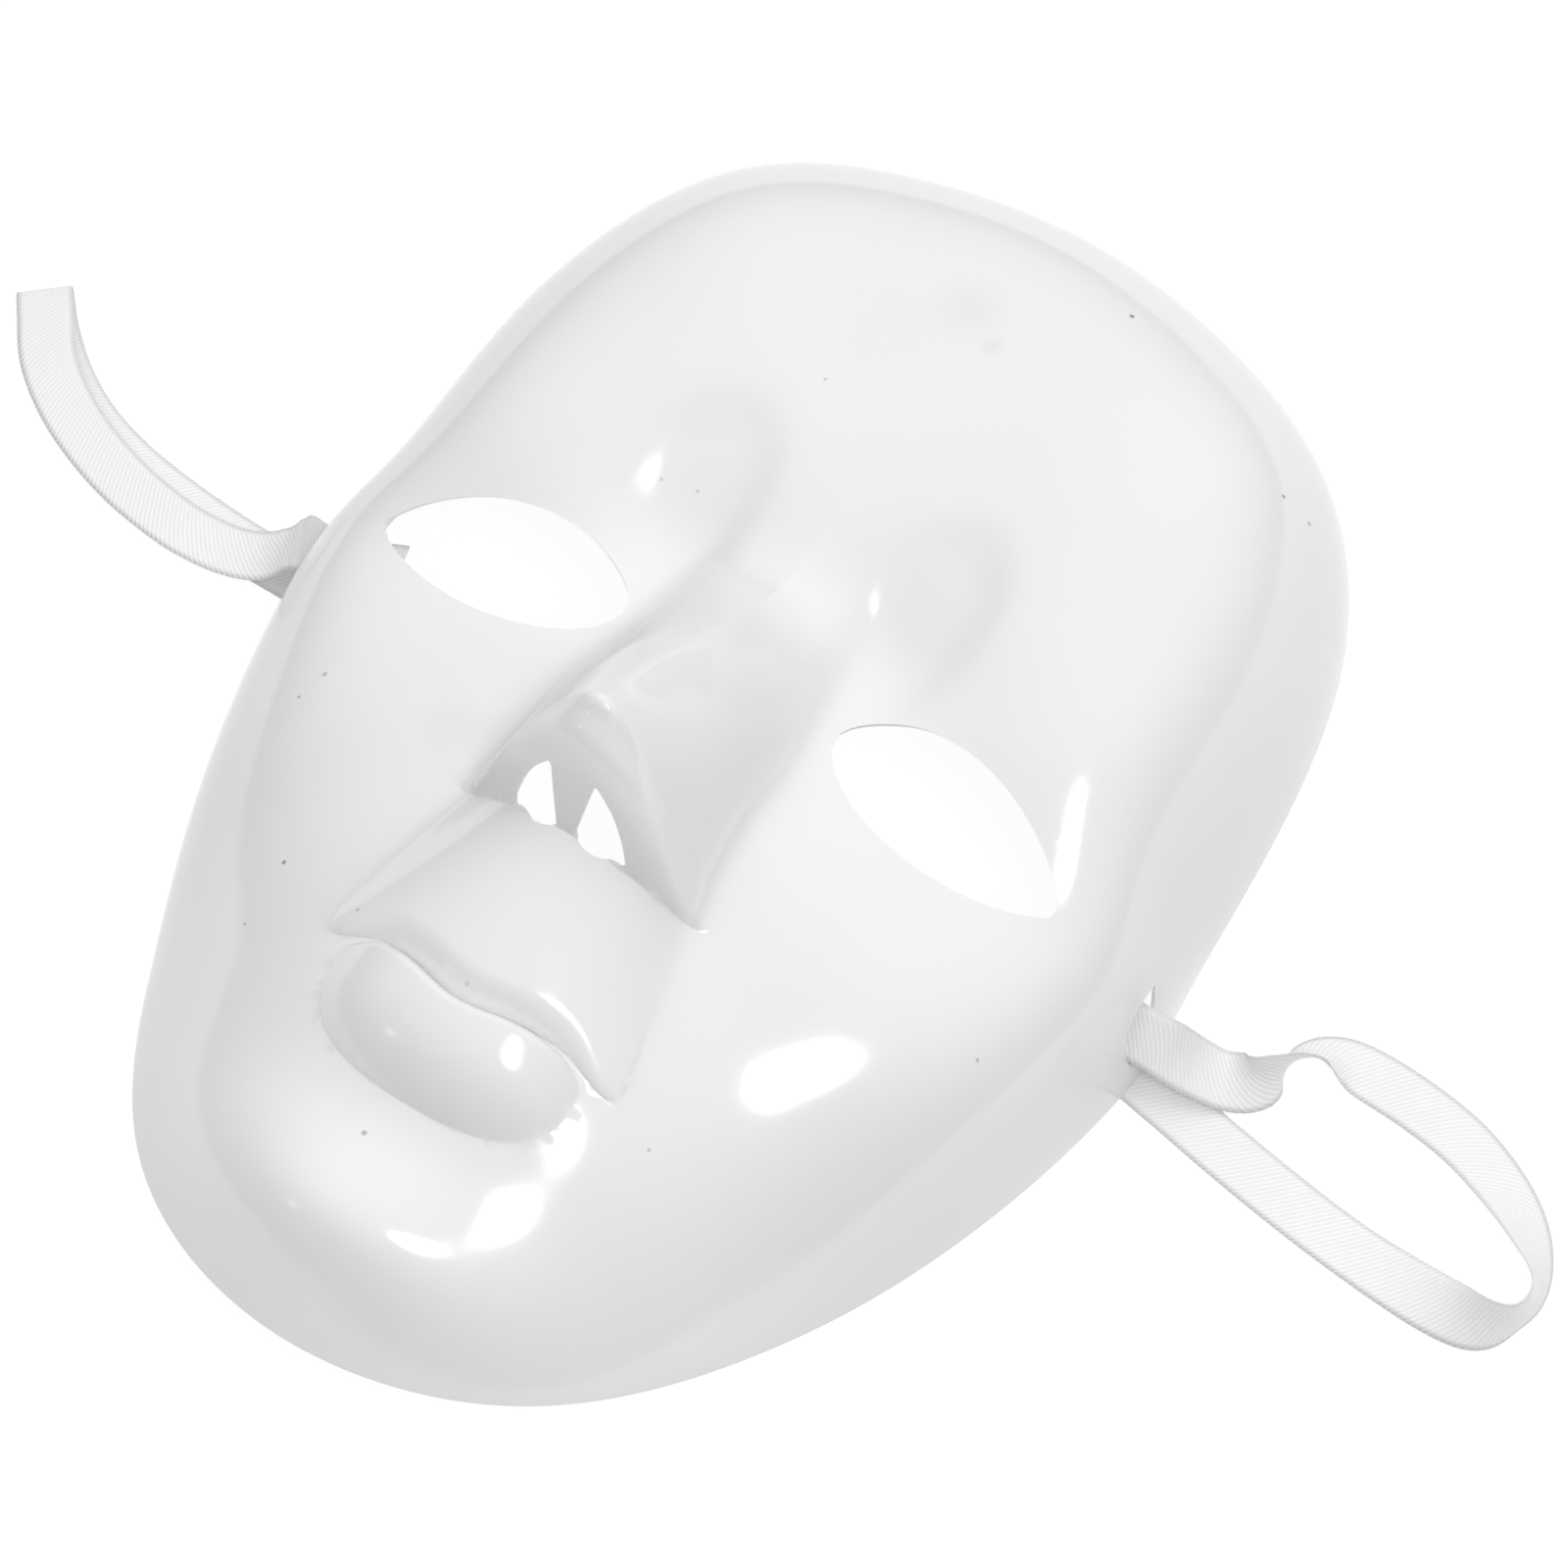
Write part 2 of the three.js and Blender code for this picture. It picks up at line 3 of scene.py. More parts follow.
import bpy
import numpy as np
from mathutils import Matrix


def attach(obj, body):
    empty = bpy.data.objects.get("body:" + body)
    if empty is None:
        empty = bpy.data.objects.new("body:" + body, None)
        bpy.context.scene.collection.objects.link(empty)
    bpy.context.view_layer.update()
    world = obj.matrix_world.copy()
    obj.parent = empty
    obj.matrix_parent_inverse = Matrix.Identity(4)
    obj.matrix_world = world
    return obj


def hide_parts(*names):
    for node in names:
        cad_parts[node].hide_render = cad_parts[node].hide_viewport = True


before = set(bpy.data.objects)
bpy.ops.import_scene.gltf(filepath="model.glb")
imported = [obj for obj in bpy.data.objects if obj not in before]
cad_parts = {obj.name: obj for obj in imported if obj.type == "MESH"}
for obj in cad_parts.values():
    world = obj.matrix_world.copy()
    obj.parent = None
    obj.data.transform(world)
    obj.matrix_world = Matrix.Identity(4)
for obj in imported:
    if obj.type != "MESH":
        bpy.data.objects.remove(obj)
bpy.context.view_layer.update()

MM = 0.001

# Camera: where it stands around the mask, how far from the point it looks at, and its lens
CAMERA_AZIMUTH = 34.28
CAMERA_ELEVATION = 59.25
CAMERA_DISTANCE = 834.7
CAMERA_AIM = (14.68, -0.06, 30.05)
CAMERA_LENS = 117.47
CAMERA_SENSOR = 36.0

# Lights: azimuth and elevation, distance, size and power of two softboxes, and the sky between them
KEY = (54, 57, 1200, (300, 300), 3.4)
SIDE = (-37, 24, 1200, (110, 110), 0.09)
SKY_AXIS = (-0.02, 0.24, 0.97)
SKY_DARK_BELOW = 0.1
SKY_ZENITH = 1.5

# Table: how far it runs each way, and its top, a hair under the rim
FLOOR_HALF = 3000.0
FLOOR_TOP = -0.05

# Shell: its wall, and the points x, y and height that lead the smooth line of the rim, chin to forehead
HALF_LENGTH = 120.0
WALL = 0.6
RIM_HALF = (
    (0, -125.1, 16.2),
    (42, -109.8, 10.2),
    (63.8, -71.8, -0.9),
    (75.3, -46.9, 0.6),
    (82.3, -19.8, -0.1),
    (86, 4.5, 3.2),
    (81.5, 20.1, -3.3),
    (82.7, 56.9, 15),
    (68.4, 102, 10.2),
    (35.4, 115.8, 12.9),
    (0, 122.1, 13.7),
)

# Dome: its crown line over the length, and how square its shoulders are
CROWN_MID = 51.8
CROWN_SLOPE = 0.021
CROWN_BEND = 0.00277
SHOULDER_POWER = (3.89, 0.81, 2.48, 0.73, 0.27)
SHOULDER_ROOT = (1.56, 0.41, -0.02, -0.2, 0.13)

# Eye sockets
SOCKET = dict(x=11.9, y=19, depth=7.3, across=25.9, up=16, down=22.9)
BROW_DISH = dict(x=22.2, y=32.2, depth=2.1, across=10, up=12.9, down=23.4)
OUTER_SOCKET = dict(x=55.1, y=-4.4, depth=11.6, across=40, up=19.1, down=45.1)

# Nose: its ridge, its section, its underside and the ball on its tip
NOSE_ROOT_Y = 26.0
NOSE_ROOT_SOFTNESS = 5.0
NOSE_SLOPE = 0.572
NOSE_TIP_Y = -32.0
NOSE_ROOT_HALF_WIDTH = 15.0
NOSE_TIP_HALF_WIDTH = 19.0
NOSE_ROUND = 2.1
NOSE_SIDE_SOFTNESS = 0.2
NOSE_FOOT_Y = -39.3
NOSE_FOOT_CURVE = 0.006
UNDERSIDE_SLOPE = 5.4
UNDERSIDE_ROUND = 2.0
LEAST_CUT = 5.0
BALL_Y = -31.0
BALL_RISE = 3.2
BALL_RADIUS = 6.5

# Plate of the upper lip
PLATE_TOP_Y = -36
PLATE_TOP_HALF_WIDTH = 21.1
PLATE_BOTTOM_Y = -65.5
PLATE_BOTTOM_HALF_WIDTH = 28.7
PLATE_TOP_CROWN = 9.0
PLATE_CROWN = 2.6
CROWN_POWER = 2.3
CROWN_SOFTNESS = 0.12
PLATE_STEP = 0.8
STEP_GROWTH = 1.74
PLATE_EDGE = 5
PLATE_ROLL = 4.83
PLATE_ROUND = 1.6
PLATE_STEEPNESS = 0.5
PLATE_FADE_ABOVE = 6
PLATE_FADE_BELOW = 1
MOUTH_Y = -65.1
MOUTH_DIP = 3.16
MOUTH_DIP_WIDTH = 10.3
MOUTH_END_DROP = 1.64
MOUTH_END_FROM = 17
MOUTH_END_TO = 26

# Lower lip
LIP_Y = -71.8
LIP_HALF_WIDTH = 23
LIP_BELOW = 12.8
LIP_POWER = 2.29
LIP_RISE = 4.93
LIP_ROLL = 2.96
LIP_ROUND = 3.27
LIP_STEEPNESS = 1.01

CHIN = dict(y=-110, rise=9, across=30, along=12)
CHIN_FOLD = dict(y=-87, depth=3.2, across=33, along=12)

# Holes
EYE_INNER = (21.2, 6.4)
EYE_OUTER = (66.5, 0.8)
EYE_ABOVE = 9.55
EYE_BELOW = 9.7
EYE_INNER_POWER = 0.52
EYE_OUTER_POWER = 0.71
NOSTRIL = ((4.2, 70), (7.6, 65.5), (9.9, 59.5), (11, 53.4), (1.6, 56.2))
SLIT_TOP = (8.5, 18.6)
SLIT_BOTTOM = (-1.6, 6.8)
SLIT_BOW = 6.0
SLIT_BACK_BOW = 1.5
SLIT_BEYOND_X = 70
NOSTRIL_ROUNDING = 0.3
NOSTRIL_REACH_Y = (-42, -31)
FAR_OUTSIDE = 5.0

# Web of the shell's mesh: its hub, spokes and rings, and how finely its edges are then halved
HUB_Y = 21.0
SPOKES = 160
SPOKE_CROWDING = 0.45
FACE_RINGS = 70
RIM_REACH = 104.0
RIM_RINGS = 20
ROUND_RINGS_REACH = 62.0
HALVINGS = 4
LARGEST_SAG = 0.02
SHORTEST_EDGE = 0.4
SEARCH_HALVINGS = 18

# Ties: each point of a route holds x, y and height of the middle of the ribbon, and the heading and the tilt,
# in degrees, of its width
RIBBON_WIDTH = 10.0
RIBBON_THICKNESS = 0.4
RIB_PITCH = 0.75
RIB_SLANT = 35.0
SELVEDGE = 0.5
RIBBON_STEPS = 12
RIBBON_LANES = 9
EDGE_THINNING = 0.35
ON_TABLE = 0.4
TIE_RIGHT = (
    (73, 10, 5, 90, 44),
    (74.4, 7.2, 8, 90, 44),
    (76.8, 4.2, 10.5, 90, 44),
    (80.2, 2.4, 12.1, 90, 44),
    (84, 2.1, 12.3, 90, 44),
    (87.2, 2.9, 11, 94, 42),
    (89.8, 4.1, 8.3, 100, 32),
    (92.8, 5.6, 5.2, 107, 19),
    (97, 7.2, 3, 114, 16),
    (101.2, 9.2, 3.8, 122, 44),
    (103.6, 12.4, 5.3, 132, 80),
    (105.2, 16, 5.4, 138, 112),
    (107.4, 19.4, 4.2, 134, 142),
    (111.2, 21.6, 2.6, 116, 166),
    (116.2, 22.2, 1.6, 100, 178),
    (125.8, 21.8, 1.4, 84, 178),
    (136.2, 19.8, 1.6, 74, 174),
    (147, 14.8, 2.4, 58, 160),
    (154.4, 8.2, 4.1, 40, 135),
    (158.6, 1.4, 5.3, 20, 104),
    (158, -4.2, 5.3, -35, 95),
    (153.6, -7.6, 4.6, -75, 125),
    (146.2, -7.8, 2.6, -92, 155),
    (134, -6.8, 0.9, -96, 176),
    (124, -5.7, ON_TABLE, -97, 180),
    (113.8, -4.3, ON_TABLE, -99, 180),
    (102, -2.3, ON_TABLE, -100, 180),
    (91, -0.2, ON_TABLE, -101, 180),
    (81, 1.2, ON_TABLE, -90, 180),
    (71, -0.6, ON_TABLE, -70, 180),
    (62, -6.6, ON_TABLE, -50, 180),
    (54.5, -15.6, ON_TABLE, -35, 180),
    (49.5, -26.4, ON_TABLE, -20, 180),
    (47, -38, ON_TABLE, -10, 180),
    (45.5, -49, ON_TABLE, -6, 180),
)
TIE_LEFT = (
    (-73, 10, 5, 270, -44),
    (-74.4, 7.2, 8, 270, -44),
    (-76.8, 4.2, 10.5, 270, -44),
    (-80.2, 2.4, 12.1, 270, -44),
    (-84, 2.1, 12.3, 270, -44),
    (-87, 2.6, 11.2, 269, -40),
    (-89.6, 2.6, 8.4, 269, -28),
    (-92.2, 1.4, 5.4, 271, -16),
    (-95.6, -0.4, 3.6, 274, -6),
    (-100.4, -2, 3.1, 274, -1),
    (-106, -3, 3.5, 270, 0),
    (-112.4, -3.2, 4, 266, 0),
    (-122.8, -1.8, 4.3, 256, 0),
    (-133.2, 1.2, 4.5, 247, 0),
    (-143, 5.6, 4.7, 240, 0),
    (-151.4, 11.4, 4.9, 232, 0),
    (-157.6, 18.4, 4.9, 225, 0),
    (-161.2, 22.6, 4.2, 223, 0),
    (-162.2, 23.8, 2.7, 223, 0),
    (-161.2, 22.8, 1.2, 223, 0),
    (-156.8, 18.4, 0.6, 228, 0),
    (-149, 12.4, ON_TABLE, 236, 0),
    (-140, 7.6, ON_TABLE, 246, 0),
    (-130, 4.4, ON_TABLE, 254, 0),
    (-119.4, 2.6, ON_TABLE, 262, 0),
    (-108.6, 1.6, ON_TABLE, 267, 0),
    (-98, 1.2, ON_TABLE, 269, 0),
    (-87.6, 1.2, ON_TABLE, 270, 0),
    (-77.4, 0.4, ON_TABLE, 257, 0),
    (-68, -3.6, ON_TABLE, 237, 0),
    (-60.4, -11, ON_TABLE, 217, 0),
    (-55.2, -20.8, ON_TABLE, 201, 0),
    (-52.6, -31.6, ON_TABLE, 190, 0),
    (-51.6, -42.6, ON_TABLE, 185, 0),
)

# Colours: the sheet's two faint tones and its dirt, and the ribbon's ribs, the painted shade of its grooves,
# and its edges
SHEET_LIGHT = "#E4E4E4"
SHEET_DARK = "#DDDDDD"
SMUDGE = "#D4D4D4"
SPECK = "#8A8885"
RIB_TOP = "#EBEBEA"
RIB_GROOVE_SHADE = "#DFDFDE"
RIBBON_EDGE = "#DCDCDB"

# Finish: how high the sheet's slow waves and the ribbon's ribs stand
WAVE_HEIGHT = 0.12
RIB_HEIGHT = 0.03

# Dirt on the sheet: x and y of each mark, its radius, and how much it hides, from 0 to 1
SPECKS = (
    (19.3, 96.3, 0.6, 1.0),
    (-14.6, 55, 0.4, 0.5),
    (57.6, 83, 0.5, 0.8),
    (62.3, 84.3, 0.5, 0.6),
    (-57.7, -27.7, 0.6, 0.5),
    (-59.5, -32.6, 0.4, 0.6),
    (-43.6, -58, 0.5, 0.9),
    (-2, -91.6, 0.6, 0.7),
    (-43.4, -69.2, 0.4, 0.5),
    (68.5, -24.7, 0.4, 0.5),
    (-28.7, 27.7, 0.4, 0.4),
    (-22.6, 29.4, 0.4, 0.4),
    (0.1, -66.2, 0.5, 0.3),
    (-24.5, -62.5, 0.4, 0.5),
    (35.5, -68, 0.4, 0.5),
)
SMUDGES = (
    (-2.6, 80.3, 9, 0.5),
    (4.4, 76, 3, 0.6),
    (-31.7, -27.2, 8, 0.4),
)


def linear(code):
    """An sRGB hex colour as linear red, green, blue and alpha."""
    value = np.array([int(code[i:i + 2], 16) for i in (1, 3, 5)]) / 255
    low = value / 12.92
    high = ((value + 0.055) / 1.055) ** 2.4
    return (*np.where(value <= 0.04045, low, high), 1.0)


def bell(distance, radius):
    """exp(-(distance / radius) squared)."""
    return np.exp(-((distance / radius) ** 2))


def smooth(a, b, v):
    """0 below a, 1 above b, and 3 s^2 - 2 s^3 between them."""
    s = np.clip((v - a) / (b - a), 0, 1)
    return s * s * (3 - 2 * s)


def through(points, steps):
    """Catmull-Rom curve through points of any number of coordinates, steps to a span."""
    points = np.array(points, float)
    where = np.arange((len(points) - 1) * steps) / steps
    span = where.astype(int)
    f = (where - span)[:, None]
    a, b, c, d = (points[np.clip(span + k, 0, len(points) - 1)] for k in (-1, 0, 1, 2))
    curve = 0.5 * (2 * b + (c - a) * f + (2 * a - 5 * b + 4 * c - d) * f**2 + (3 * b - a - 3 * c + d) * f**3)
    return np.vstack([curve, points[-1:]])


def whole_rim():
    """The rim all round: the uniform cubic B-spline of its right half's points and their mirror."""
    half = np.array(RIM_HALF, float)
    ring = np.vstack([half, half[-2:0:-1] * (-1, 1, 1)])
    f = (np.arange(60) / 60)[:, None, None]
    before, at = (1 - f) ** 3 / 6, (3 * f**3 - 6 * f**2 + 4) / 6
    after, beyond = (-3 * f**3 + 3 * f**2 + 3 * f + 1) / 6, f**3 / 6
    weights = (before, at, after, beyond)
    curve = sum(weight * np.roll(ring, 1 - k, 0) for k, weight in enumerate(weights))
    return curve.transpose(1, 0, 2).reshape(-1, 3)


RIM = whole_rim()


def rim_around(centre_y, angle):
    """Distance and height of the rim in each direction from the point (0, centre_y)."""
    marks = np.mod(np.arctan2(RIM[:, 1] - centre_y, RIM[:, 0]), 2 * np.pi)
    order = np.argsort(marks)
    reach = np.hypot(RIM[:, 0], RIM[:, 1] - centre_y)[order]
    angle = np.mod(angle, 2 * np.pi)
    distance = np.interp(angle, marks[order], reach, period=2 * np.pi)
    return distance, np.interp(angle, marks[order], RIM[order, 2], period=2 * np.pi)


def dome(x, y):
    """From the rim's height h to the crown c: h + (c - h) (1 - t^p)^(1/q), t the share of the way out."""
    angle = np.arctan2(y, x)
    reach, low = rim_around(0, angle)
    share = np.minimum(1, np.hypot(x, y) / reach)
    waves = (angle * 0 + 1, np.sin(angle), np.cos(2 * angle), np.sin(3 * angle), np.cos(4 * angle))
    turns = np.stack(waves, -1)
    power, root = turns @ SHOULDER_POWER, turns @ SHOULDER_ROOT
    crown = CROWN_MID + CROWN_SLOPE * y + CROWN_BEND * y * y
    return low + (crown - low) * (1 - share**power) ** (1 / root), 1 - share**8


def soft_positive(value, softness):
    """softness * ln(1 + exp(value / softness)): the value where it is above 0, and nearly 0 below."""
    return softness * np.logaddexp(0, value / softness)


def nose(side, y):
    """A ridge with soft sides and a ball on its tip, above an underside as steep as UNDERSIDE_SLOPE."""
    run = soft_positive(NOSE_ROOT_Y - y, NOSE_ROOT_SOFTNESS)
    down = np.clip((NOSE_ROOT_Y - y) / (NOSE_ROOT_Y - NOSE_TIP_Y), 0, 1)
    half_width = NOSE_ROOT_HALF_WIDTH + (NOSE_TIP_HALF_WIDTH - NOSE_ROOT_HALF_WIDTH) * down
    section = soft_positive(1 - (side / half_width) ** NOSE_ROUND, NOSE_SIDE_SOFTNESS)
    ridge = NOSE_SLOPE * run * section + BALL_RISE * bell(np.hypot(side, y - BALL_Y), BALL_RADIUS)
    up = UNDERSIDE_SLOPE * (y - NOSE_FOOT_Y - NOSE_FOOT_CURVE * side**2)
    up /= UNDERSIDE_ROUND * np.maximum(ridge, LEAST_CUT)
    return ridge * (1 - (1 - np.clip(up, 0, 1)) ** UNDERSIDE_ROUND)


def mouth_line(side):
    """y of the line where the lips meet: it dips in the middle and at its ends."""
    ends = MOUTH_END_DROP * smooth(MOUTH_END_FROM, MOUTH_END_TO, side)
    return MOUTH_Y - MOUTH_DIP * bell(side, MOUTH_DIP_WIDTH) - ends


def pillow(first, second, roundness, steepness):
    """(1 - q^a)^b, where q gathers two shares of the way to the border into one."""
    q = np.clip((np.clip(first, 0, 1) ** 3 + np.clip(second, 0, 1) ** 3) ** (1 / 3), 0, 1)
    return (1 - q**roundness) ** steepness


def lip_plate(side, y):
    """A crowned trapezium with a step that grows downwards, and a foot that rolls in to the mouth line."""
    down = np.clip((PLATE_TOP_Y - y) / (PLATE_TOP_Y - PLATE_BOTTOM_Y), 0, 1.2)
    half_width = PLATE_TOP_HALF_WIDTH + (PLATE_BOTTOM_HALF_WIDTH - PLATE_TOP_HALF_WIDTH) * down
    crown = PLATE_TOP_CROWN + (PLATE_CROWN - PLATE_TOP_CROWN) * down
    bulge = crown * soft_positive(1 - (side / half_width) ** CROWN_POWER, CROWN_SOFTNESS)
    out = 1 - (half_width - side) / PLATE_EDGE
    low = 1 - (y - mouth_line(side)) / PLATE_ROLL
    step = PLATE_STEP * down**STEP_GROWTH * pillow(out, low, PLATE_ROUND, PLATE_STEEPNESS)
    foot = pillow(low * 0, low, PLATE_ROUND, PLATE_STEEPNESS)
    return (step + bulge * foot) * smooth(PLATE_TOP_Y + PLATE_FADE_ABOVE, PLATE_TOP_Y - PLATE_FADE_BELOW, y)


def lower_lip(side, y):
    """A pillow over a superellipse, cut off by the mouth line."""
    below = np.maximum(0, LIP_Y - y) / LIP_BELOW
    out = ((side / LIP_HALF_WIDTH) ** LIP_POWER + below**LIP_POWER) ** (1 / LIP_POWER)
    high = 1 - (mouth_line(side) - y) / LIP_ROLL
    return LIP_RISE * pillow(out, high, LIP_ROUND, LIP_STEEPNESS)


def hollow(shape, side, y):
    """A bell shaped hollow, with its own lengths upwards and downwards."""
    off = y - shape["y"]
    along = np.where(off > 0, shape["up"], shape["down"])
    return shape["depth"] * bell(side - shape["x"], shape["across"]) * bell(off, along)


def dish(shape, side, y):
    """A hollow with a flat floor and steep walls: exp(-r^4) over an oval."""
    off = y - shape["y"]
    along = np.where(off > 0, shape["up"], shape["down"])
    return shape["depth"] * np.exp(-(((side - shape["x"]) / shape["across"]) ** 2 + (off / along) ** 2) ** 2)


def relief(side, y):
    """Everything that the face adds to the dome."""
    chin = CHIN["rise"] * bell(side, CHIN["across"]) * bell(y - CHIN["y"], CHIN["along"])
    fold = CHIN_FOLD["depth"] * bell(side, CHIN_FOLD["across"]) * bell(y - CHIN_FOLD["y"], CHIN_FOLD["along"])
    hollows = hollow(SOCKET, side, y) + hollow(OUTER_SOCKET, side, y) + dish(BROW_DISH, side, y) + fold
    return nose(side, y) + lip_plate(side, y) + lower_lip(side, y) + chin - hollows


def face_height(x, y):
    """Height of the outer face over the table."""
    height, fade = dome(x, y)
    return height + relief(np.abs(x), y) * fade


def web():
    """Angles of the spokes, crowded towards the mouth, and reaches of the rings, crowded at the rim."""
    turn = 2 * np.pi * np.arange(SPOKES) / SPOKES
    angles = turn - SPOKE_CROWDING * np.sin(turn) - np.pi / 2
    face = RIM_REACH * np.arange(1, FACE_RINGS + 1) / FACE_RINGS
    out = np.sin(np.arange(1, RIM_RINGS + 1) / RIM_RINGS * np.pi / 2)
    return angles, np.concatenate([face, RIM_REACH + (HUB_Y + HALF_LENGTH - RIM_REACH) * out])


def place(angle, reach):
    """x, y and height of the outer face at a spoke angle and a ring reach."""
    end = HUB_Y + HALF_LENGTH
    rim_reach, rim_height = rim_around(HUB_Y, angle)
    round_part = np.minimum(reach, ROUND_RINGS_REACH)
    distance = round_part + (rim_reach - round_part) * (reach - round_part) / (end - ROUND_RINGS_REACH)
    x, y = distance * np.cos(angle), HUB_Y + distance * np.sin(angle)
    return np.stack([x, y, np.where(reach >= end - 1e-9, rim_height, face_height(x, y))], -1)


def between(angle, reach, a, b, share):
    """The angle and reach at a share of the way from web point a to web point b."""
    start = np.where(reach[a] == 0, angle[b], angle[a])
    turn = np.mod(angle[b] - start + np.pi, 2 * np.pi) - np.pi
    turn = np.where(reach[b] == 0, 0, turn)
    return start + turn * share, reach[a] + (reach[b] - reach[a]) * share


def halve_edges(angle, reach, points, faces):
    """Halves each edge that sags from the true face, and makes two, three or four faces of its own."""
    sides = np.sort(np.stack([faces[:, (0, 1)], faces[:, (1, 2)], faces[:, (2, 0)]], 1), -1)
    pairs, back = np.unique(sides.reshape(-1, 2), axis=0, return_inverse=True)
    a, b = pairs.T
    new_angle, new_reach = between(angle, reach, a, b, 0.5)
    middle = place(new_angle, new_reach)
    sag = np.linalg.norm(middle - (points[a] + points[b]) / 2, axis=1)
    split = (sag > LARGEST_SAG) & (np.linalg.norm(points[a] - points[b], axis=1) > SHORTEST_EDGE)
    number = np.full(len(pairs), -1)
    number[split] = len(points) + np.arange(split.sum())
    mids = number[back].reshape(-1, 3)
    halved = mids >= 0
    count = halved.sum(1)
    turn = np.choose(count, [0 * count, halved.argmax(1), (halved.argmin(1) + 1) % 3, 0 * count])
    order = (turn[:, None] + np.arange(3)) % 3
    v, m = np.take_along_axis(faces, order, 1), np.take_along_axis(mids, order, 1)
    parts = [v[count == 0]]
    patterns = {
        1: ((0, 3, 2), (3, 1, 2)),
        2: ((3, 1, 4), (0, 3, 4), (0, 4, 2)),
        3: ((0, 3, 5), (3, 1, 4), (5, 4, 2), (3, 4, 5)),
    }
    for halves, pattern in patterns.items():
        corners = np.hstack([v, m])[count == halves]
        parts += [corners[:, corner] for corner in pattern]
    angle, reach = np.append(angle, new_angle[split]), np.append(reach, new_reach[split])
    return angle, reach, np.vstack([points, middle[split]]), np.vstack(parts)


def eye_distance(p):
    """Below 0 inside the almond of either eye: |height off the chord| minus the arc there."""
    x, y = np.abs(p[..., 0]), p[..., 1]
    run = np.subtract(EYE_OUTER, EYE_INNER)
    length = np.hypot(*run)
    along = ((x - EYE_INNER[0]) * run[0] + (y - EYE_INNER[1]) * run[1]) / length**2
    off = ((y - EYE_INNER[1]) * run[0] - (x - EYE_INNER[0]) * run[1]) / length
    u = np.clip(along, 1e-4, 1 - 1e-4)
    peak = EYE_INNER_POWER / (EYE_INNER_POWER + EYE_OUTER_POWER)
    top = peak**EYE_INNER_POWER * (1 - peak) ** EYE_OUTER_POWER
    arc = u**EYE_INNER_POWER * (1 - u) ** EYE_OUTER_POWER / top
    rise = np.where(off > 0, EYE_ABOVE, EYE_BELOW) * arc
    outside = np.maximum(np.maximum(-along, along - 1) * length, 0)
    return np.abs(off) - rise + outside


def polygon_distance(u, v, corners, rounding):
    """Below 0 inside a convex polygon with rounded corners: a soft largest distance to its sides."""
    corners = np.array(corners, float)
    middle = corners.mean(0)
    total = np.zeros(np.shape(u))
    for a, b in zip(corners, np.roll(corners, -1, 0)):
        across = np.array([b[1] - a[1], a[0] - b[0]]) / np.hypot(*(b - a))
        if across @ (middle - a) > 0:
            across = -across
        total += np.exp(((u - a[0]) * across[0] + (v - a[1]) * across[1]) / rounding)
    return rounding * np.log(total)


def nostril_distance(p):
    """Below 0 inside either nostril, on the underside of the nose alone."""
    x, y, z = np.abs(p[..., 0]), p[..., 1], p[..., 2]
    hole = polygon_distance(x, z, NOSTRIL, NOSTRIL_ROUNDING)
    low, high = NOSTRIL_REACH_Y
    return np.where((y < high) & (y > low), hole, FAR_OUTSIDE)


def slit_distance(p):
    """Below 0 inside either slit: a leaf between two parabolas over one chord."""
    y, z = p[..., 1], p[..., 2]
    run = np.subtract(SLIT_TOP, SLIT_BOTTOM)
    length = np.hypot(*run)
    u = ((y - SLIT_BOTTOM[0]) * run[0] + (z - SLIT_BOTTOM[1]) * run[1]) / length**2
    off = ((z - SLIT_BOTTOM[1]) * run[0] - (y - SLIT_BOTTOM[0]) * run[1]) / length
    arc = 4 * u * (1 - u)
    leaf = np.maximum(off - SLIT_BOW * arc, -off - SLIT_BACK_BOW * arc)
    return np.where(np.abs(p[..., 0]) > SLIT_BEYOND_X, leaf, FAR_OUTSIDE)


def open_hole(angle, reach, points, distance, faces):
    """Moves the nearest points of the web onto the hole's edge and drops the faces inside it.

    Along each edge of the web whose ends have distances of unlike sign, the crossing is found by
    halving; the nearer end is moved there. A face goes where its corners are inside or on the edge.
    """
    value = distance(points)
    near = np.abs(value) < 6
    pairs = np.vstack([faces[:, (0, 1)], faces[:, (1, 2)], faces[:, (2, 0)]])
    pairs = np.unique(np.sort(pairs, 1), axis=0)
    pairs = pairs[near[pairs].all(1)]
    cross = pairs[value[pairs[:, 0]] * value[pairs[:, 1]] < 0]
    a, b = cross.T
    low, high = np.zeros(len(a)), np.ones(len(a))
    for _ in range(SEARCH_HALVINGS):
        mid = (low + high) / 2
        at = place(*between(angle, reach, a, b, mid))
        same = distance(at) * value[a] > 0
        low, high = np.where(same, mid, low), np.where(same, high, mid)
    share = (low + high) / 2
    mover = np.where(share < 0.5, a, b)
    cost = np.minimum(share, 1 - share)
    order = np.argsort(-cost)
    new_angle, new_reach = angle.copy(), reach.copy()
    edge_angle, edge_reach = between(angle, reach, a, b, share)
    new_angle[mover[order]], new_reach[mover[order]] = edge_angle[order], edge_reach[order]
    moved = np.zeros(len(angle), bool)
    moved[mover] = True
    points = place(new_angle, new_reach)
    value = np.where(moved, 0, distance(points))
    inside = (value[faces] <= 1e-9).all(1) & (value[faces].min(1) < 0)
    flat = moved[faces].all(1)
    middle = distance(points[faces].mean(1))
    return new_angle, new_reach, points, faces[~(inside | (flat & (middle < 0)))]


